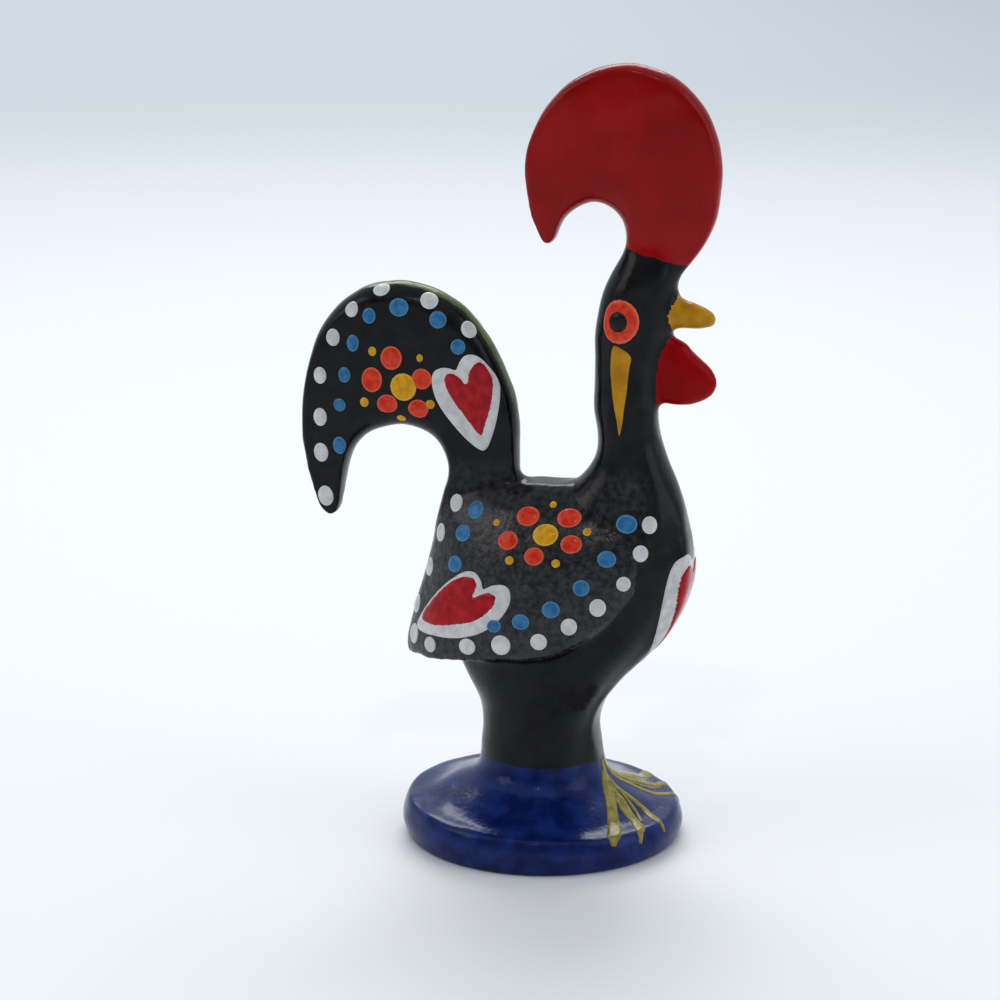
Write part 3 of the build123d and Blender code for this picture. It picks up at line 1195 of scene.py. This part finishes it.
WING_PAINT = PartPaint(
    white=drops(
        (-13.6, -4.6, 53.4, 1.15, 1.43), (-15.9, -3.8, 48.2, 1.15, 1.45),
        (-17.8, -3.2, 42.5, 1.20, 1.50), (-19.6, -2.7, 36.3, 1.20, 1.50),
        (-19.7, -4.0, 31.8, 1.35, 1.60), (-16.2, -7.4, 31.2, 1.35, 1.22),
        (-9.5, -10.8, 32.3, 1.55, 1.24), (-3.9, -12.6, 33.4, 1.65, 1.52),
        (2.1, -13.2, 34.5, 1.31, 1.25), (6.6, -12.8, 37.0, 1.24, 1.29),
        (10.7, -11.4, 39.9, 1.27, 1.36), (14.2, -9.8, 43.4, 1.12, 1.13),
        (16.4, -8.0, 47.7, 1.25, 1.27), (17.7, -6.8, 51.9, 1.20, 1.35),
    ),
    blue=drops(
        (-9.9, -6.0, 53.0, 1.30, 1.50), (-11.7, -6.8, 49.1, 1.45, 1.31),
        (-12.6, -7.2, 44.2, 1.45, 1.30), (14.2, -7.2, 51.9, 1.61, 1.45),
        (11.7, -9.8, 47.0, 1.43, 1.27), (8.2, -11.6, 42.8, 1.27, 1.23),
        (3.8, -12.4, 39.4, 1.40, 1.27), (-0.8, -12.4, 37.2, 1.42, 1.18),
        (-5.1, -11.6, 36.1, 1.25, 1.02),
    ),
    petals=drops(
        (-0.9, -7.0, 52.2, 1.80, 1.64), (5.5, -7.4, 52.4, 1.90, 1.64),
        (-3.6, -8.6, 48.7, 1.68, 1.45), (6.3, -9.2, 48.7, 1.66, 1.45),
        (0.7, -10.2, 46.9, 1.59, 1.39),
    ),
    heart=drops((2.2, -8.8, 49.9, 2.02, 1.78)),
    specks=drops(
        (2.7, -6.0, 54.1, 0.54, 0.58), (-5.9, -7.4, 51.2, 0.53, 0.53),
        (8.4, -8.2, 50.4, 0.63, 0.64), (-3.1, -9.6, 45.9, 0.70, 0.66),
        (4.2, -10.4, 46.0, 0.66, 0.63),
    ),
    border=Outline(
        "wing_heart_border",
        WHITE,
        (
            (-19.0, 32.9), (-18.1, 35.7), (-15.0, 39.8), (-12.1, 42.4), (-10.1, 43.5),
            (-8.6, 43.4), (-7.7, 42.4), (-7.2, 41.3), (-5.8, 42.0), (-4.0, 42.3), (-2.9, 41.6),
            (-2.8, 39.7), (-4.2, 37.3), (-6.9, 35.0), (-10.8, 33.4), (-15.0, 32.8),
        ),
        rise=0.12,
    ),
    red=Outline(
        "wing_heart",
        HEART_RED,
        (
            (-18.2, 34.7), (-16.5, 37.7), (-13.6, 40.9), (-11.2, 42.5), (-9.0, 42.8),
            (-8.2, 41.6), (-8.8, 40.0), (-7.7, 40.5), (-6.1, 41.0), (-4.9, 40.3), (-5.7, 38.4),
            (-8.3, 36.3), (-12.5, 34.9), (-16.1, 34.2),
        ),
        rise=0.26,
    ),
)


@dataclass
class HeadPaint:
    """The eyes and the yellow flash behind each cheek."""

    ring: tuple[Dab, ...] = drops((12.3, -4.9, 82.2, 3.25, 3.40))
    pupil: tuple[Dab, ...] = drops((12.2, -4.9, 82.2, 1.60, 1.64))
    flash: Outline = Outline(
        "cheek_flash",
        OCHRE,
        (
            (11.4, 78.4), (12.8, 78.1), (14.1, 76.9), (13.9, 75.3), (13.7, 73.3), (13.5, 71.0),
            (13.2, 68.9), (13.0, 66.8), (12.6, 65.0), (12.1, 67.4), (11.6, 69.7), (11.2, 72.6),
            (11.0, 75.6),
        ),
    )


@dataclass
class BreastPaint:
    """The heart on the breast, which lies across the middle of the front."""

    border_half: tuple[Spot, ...] = (
        (-1.3, 46.1), (-3.1, 46.7), (-4.6, 46.1), (-5.6, 44.5), (-6.1, 42.3), (-6.2, 40.0),
        (-6.0, 37.6), (-5.6, 35.2), (-4.9, 32.9), (-3.7, 30.8), (-2.0, 29.0),
    )
    border_middle: Spot = (45.2, 28.0)
    red_half: tuple[Spot, ...] = (
        (-1.4, 44.7), (-3.0, 45.0), (-4.2, 44.3), (-4.8, 42.6), (-4.9, 40.4), (-4.7, 38.2),
        (-4.3, 35.8), (-3.5, 33.5), (-2.1, 31.4),
    )
    red_middle: Spot = (43.5, 30.3)

    def outlines(self) -> tuple[Outline, Outline]:
        """The white border and the red heart on it."""
        return (
            self._heart("breast_heart_border", WHITE, self.border_half, self.border_middle, 0.12),
            self._heart("breast_heart", HEART_RED, self.red_half, self.red_middle, 0.26),
        )

    @staticmethod
    def _heart(
        name: str, enamel: Enamel, half: Sequence[Spot], middle: Spot, rise: float
    ) -> Outline:
        """A symmetric heart from its right half.

        Args:
            name: Its name.
            enamel: Its paint.
            half: Points down the right half, as Y and Z.
            middle: Height of the notch and of the tip.
            rise: How far it stands up.

        Returns:
            The closed outline.
        """
        left = [(-y, z) for y, z in reversed(half)]
        corners = ((0.0, middle[0]), *half, (0.0, middle[1]), *left)
        return Outline(name, enamel, corners, Facing.BREAST, rise)


@dataclass(frozen=True)
class Toe:
    """One brush stroke of a painted foot: X, Y, Z and width at each point, in millimetres."""

    name: str
    points: tuple[tuple[float, ...], ...]


@dataclass
class FootPaint:
    """The painted feet: three toes on each side of the front of the base, with thin webs."""

    toes: tuple[Toe, ...] = (
        Toe(
            "outer_toe",
            (
                (9.8, -0.6, 12.4, 0.8), (10.1, -0.8, 10.9, 1.2), (10.8, -2.6, 9.6, 1.9),
                (11.8, -5.1, 8.6, 2.0), (12.7, -8.2, 7.4, 1.8), (13.3, -10.1, 6.7, 1.9),
                (14.0, -12.7, 5.9, 2.3), (14.3, -15.3, 5.6, 2.2), (14.4, -16.2, 4.0, 0.8),
            ),
        ),
        Toe(
            "middle_toe",
            (
                (10.6, -1.7, 10.2, 1.1), (11.7, -3.0, 9.0, 1.5), (13.6, -4.8, 7.7, 1.5),
                (14.9, -6.6, 6.8, 1.5), (16.2, -8.3, 6.1, 1.6), (17.3, -10.0, 5.8, 1.8),
                (17.8, -11.4, 5.5, 1.4), (17.9, -12.5, 3.4, 0.6),
            ),
        ),
        Toe(
            "inner_toe",
            (
                (10.5, -1.1, 10.4, 0.9), (11.5, -1.4, 9.3, 1.1), (12.8, -2.1, 8.5, 1.2),
                (14.6, -2.7, 7.5, 1.2), (17.1, -3.8, 6.3, 1.2), (18.4, -5.2, 5.9, 1.4),
                (19.6, -6.4, 5.7, 1.2), (20.6, -7.2, 3.6, 0.6),
            ),
        ),
        Toe(
            "outer_web",
            (
                (12.2, -4.4, 8.4, 0.4), (14.0, -6.9, 7.2, 0.8), (15.2, -8.0, 6.5, 0.8),
                (16.3, -9.3, 6.0, 0.4),
            ),
        ),
        Toe(
            "inner_web",
            (
                (13.2, -2.8, 8.2, 0.4), (15.0, -4.5, 7.2, 0.6), (16.4, -6.1, 6.4, 0.6),
                (17.4, -8.2, 5.9, 0.4),
            ),
        ),
    )


@dataclass(frozen=True)
class Lamp:
    """One soft lamp: its place and its two sides in metres, its power in watts, its colour."""

    name: str
    place: Point
    size: Spot
    power: float
    colour: Colour


@dataclass
class Studio:
    """The camera, the lamps, the white room and the pale floor."""

    eye: Point = (85.19, -400.79, 152.23)
    azimuth: float = 12.0
    yaw: float = 0.944
    pitch: float = 13.587
    lens: float = 98.9
    sensor: float = 36.0
    clip: Spot = (0.01, 50)
    near_side: Colour = (0.17, 0.18, 0.19)
    far_side: Colour = (0.68, 0.72, 0.77)
    floor_colour: Colour = (0.86, 0.87, 0.885)
    floor_roughness: float = 0.6
    floor_reach: float = 6.0
    # Tones of the distance seen by the camera, with painted shade that is darker on the right.
    distance_left: Colour = (0.65, 0.71, 0.78)
    distance_right: Colour = (0.45, 0.50, 0.56)
    distance_band: Spot = (-0.2, 1.7)
    distance_lean: float = 0.25
    distance_turn: Spot = (-0.1, 1.1)
    horizon_band: Spot = (0.06, 0.30)
    paler_way: Spot = (0.8, 0.6)
    paler_band: Spot = (-0.5, 0.8)
    lit_point: Point = (0, 0, 0.06)
    lamps: tuple[Lamp, ...] = (
        Lamp("window", (-0.22, 0.80, 0.85), (0.8, 0.5), 6.8, (0.99, 1.0, 1.0)),
        Lamp("left_fill", (-0.80, -0.45, 0.65), (0.6, 0.6), 2.1, (1.0, 0.99, 0.97)),
        Lamp("right_fill", (0.85, -0.10, 0.50), (0.5, 0.8), 1.4, (0.95, 0.98, 1.0)),
        Lamp("ceiling_light", (0.05, -0.90, 1.30), (0.05, 0.05), 1.2, (1.0, 0.98, 0.95)),
    )

    def camera(self) -> None:
        """Sets the camera where the photograph was taken from."""
        data = bpy.data.cameras.new("camera")
        data.lens, data.sensor_width = self.lens, self.sensor
        data.clip_start, data.clip_end = self.clip
        made = bpy.data.objects.new("camera", data)
        turn, pitch = math.radians(self.azimuth + self.yaw), math.radians(self.pitch)
        flat = math.cos(pitch)
        look = Vector((-math.sin(turn) * flat, math.cos(turn) * flat, -math.sin(pitch)))
        made.location = Vector(self.eye) * MM
        self._aim(made, look)
        bpy.context.scene.camera = made

    def hang(self, lamp: Lamp) -> None:
        """Hangs one lamp that looks at the rooster."""
        data = bpy.data.lights.new(lamp.name, "AREA")
        data.shape = "RECTANGLE"
        data.size, data.size_y = lamp.size
        data.energy = lamp.power
        data.color = lamp.colour
        made = bpy.data.objects.new(lamp.name, data)
        made.location = lamp.place
        self._aim(made, Vector(self.lit_point) - Vector(lamp.place))

    @staticmethod
    def _aim(made: bpy.types.Object, look: Vector) -> None:
        """Turns a camera or a lamp this way and puts it in the scene."""
        made.rotation_mode = "QUATERNION"
        made.rotation_quaternion = look.to_track_quat("-Z", "Y")
        bpy.context.scene.collection.objects.link(made)

    def room(self) -> None:
        """Makes the world paler on the far side and overhead, as a room with its window behind."""
        world = bpy.data.worlds.new("white_room")
        bpy.context.scene.world = world
        graph = PaintGraph(world, "Generated")
        _, y, z = graph.parts()
        share = (y * self.paler_way[0] + z * self.paler_way[1]).rise(*self.paler_band)
        colour = graph.blend(share, (*self.near_side, 1), (*self.far_side, 1))
        # Near the horizon the camera sees the same painted-shade tone as the distant floor's left
        # side.
        horizon = graph.seen() * (1 - z.size().rise(*self.horizon_band))
        shown = graph.blend(horizon, colour, (*self.distance_left, 1))
        light = graph.node("ShaderNodeBackground", {}, {"Color": shown, "Strength": 1.0})
        graph.node("ShaderNodeOutputWorld", {}, {"Surface": light})

    def floor(self) -> None:
        """Lays the pale floor, whose distance shows the camera a set tone with painted shade,
        darker than the lit floor and darker still to the right.
        """
        mesh = bpy.data.meshes.new("floor")
        turns = ((-1, -1), (1, -1), (1, 1), (-1, 1))
        corners = [(x * self.floor_reach, y * self.floor_reach, 0) for x, y in turns]
        mesh.from_pydata(corners, [], [(0, 1, 2, 3)])
        graph = PaintGraph(bpy.data.materials.new("pale_floor"))
        values = {"Base Color": (*self.floor_colour, 1), "Roughness": self.floor_roughness}
        near = graph.node("ShaderNodeBsdfPrincipled", {}, values)
        x, y, _ = graph.parts()
        length = {"operation": "LENGTH"}
        away = graph.node("ShaderNodeVectorMath", length, {0: graph.coords}, "Value")
        # Painted shade: the distant floor is darker towards the right.
        to_right = (x + y * self.distance_lean).rise(*self.distance_turn)
        tone = graph.blend(to_right, (*self.distance_left, 1), (*self.distance_right, 1))
        far = graph.node("ShaderNodeEmission", {}, {"Color": tone, "Strength": 1.0})
        share = away.rise(*self.distance_band) * graph.seen()
        mixed = graph.node("ShaderNodeMixShader", {}, {0: share, 1: near, 2: far})
        graph.node("ShaderNodeOutputMaterial", {}, {"Surface": mixed})
        mesh.materials.append(graph.owner)
        made = placed("floor", mesh)

    def build(self) -> None:
        """Sets up everything round the rooster."""
        bpy.context.scene.view_settings.view_transform = "Standard"
        self.camera()
        self.room()
        self.floor()
        for lamp in self.lamps:
            self.hang(lamp)


@dataclass
class Rooster:
    """The whole ornament: clay pieces in their base paints, and the painted decoration."""

    finishes: Mapping[str, tuple[Enamel, Zone, Optional[Enamel], str]] = field(
        default_factory=lambda: {
            "base": (BLACK, Zone.FOOT, COBALT, "blue_foot"),
            "body_right_half": (BLACK, Zone.CROWN, CRIMSON, "black_body"),
            "body_left_half": (BLACK, Zone.CROWN, CRIMSON, "black_body"),
            "right_wing": (WING_BLACK, Zone.NONE, None, "black_wing"),
            "left_wing": (WING_BLACK, Zone.NONE, None, "black_wing"),
            "tail": (BLACK, Zone.TAIL_RIM, OLIVE, "black_tail"),
            "comb": (BLACK, Zone.CROWN, CRIMSON, "red_comb"),
            "beak": (OCHRE, Zone.NONE, None, "yellow_beak"),
            "wattle": (CRIMSON, Zone.NONE, None, "red_wattle"),
        }
    )

    def keep(self, piece: bpy.types.Object) -> None:
        """Puts a finished piece on the figure's body."""
        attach(piece, "root")
        LOG.info("%s: %d faces", piece.name, len(piece.data.polygons))

    def build(self, nodes: Mapping[str, bpy.types.Object]) -> None:
        """Makes every piece.

        Args:
            nodes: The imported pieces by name.
        """
        skin = ClaySkin()
        skin.build(nodes)
        for name, (enamel, zone, over, slot) in self.finishes.items():
            piece = skin.piece(name, enamel.material(zone, over))
            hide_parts(name)
            self.keep(piece)
        search = skin.tree()
        clay = skin.solid()
        self.dabs(clay, search)
        self.outlines(Brush(search))
        bpy.data.objects.remove(clay)

    def dabs(self, clay: bpy.types.Object, search: BVHTree) -> None:
        """Sets all round drops of paint.

        Args:
            clay: The whole skin as an object.
            search: The skin's search tree.
        """
        tree = DabTree().build()
        rows = []
        for part, paint in (("tail", TAIL_PAINT), ("wing", WING_PAINT)):
            slot = f"black_{part}"
            rows += [
                (DabRow(f"{part}_white_dots", WHITE, paint.white), slot),
                (DabRow(f"{part}_blue_dots", SKY, paint.blue), slot),
                (DabRow(f"{part}_petals", CORAL, paint.petals, thickness=0.26), slot),
                (DabRow(f"{part}_flower_hearts", AMBER, paint.heart, thickness=0.32), slot),
                (DabRow(f"{part}_specks", AMBER, paint.specks, thickness=0.20), slot),
            ]
        head = HeadPaint()
        rows.append((DabRow("eye_rings", CORAL, head.ring, thickness=0.28), "black_body"))
        rows.append((DabRow("pupils", JET, head.pupil, thickness=0.62), "black_body"))
        for row, slot in rows:
            self.keep(row.make(tree, clay, search))

    def outlines(self, brush: Brush) -> None:
        """Lays all outlined touches of paint.

        Args:
            brush: What lays them on the clay.
        """
        for flank in Flank:
            label = flank.name.lower()
            for outline, slot in (
                (TAIL_PAINT.border, "black_tail"),
                (TAIL_PAINT.red, "black_tail"),
                (WING_PAINT.border, "black_wing"),
                (WING_PAINT.red, "black_wing"),
                (HeadPaint().flash, "black_body"),
            ):
                self.keep(brush.lay(outline, flank, label))
            for toe in FootPaint().toes:
                path = [(x, abs(y) * flank.value, z) for x, y, z, _ in toe.points]
                widths = [width for *_, width in toe.points]
                self.keep(brush.stroke(f"{toe.name}_{label}", STRAW, path, widths))
        for outline in BreastPaint().outlines():
            self.keep(brush.lay(outline, Flank.RIGHT, "front"))


def main() -> None:
    """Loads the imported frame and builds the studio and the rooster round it."""
    logging.basicConfig(level=logging.INFO, format="%(name)s %(message)s")
    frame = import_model()
    Studio().build()
    Rooster().build(frame["nodes"])


if __name__ == "__main__":
    main()
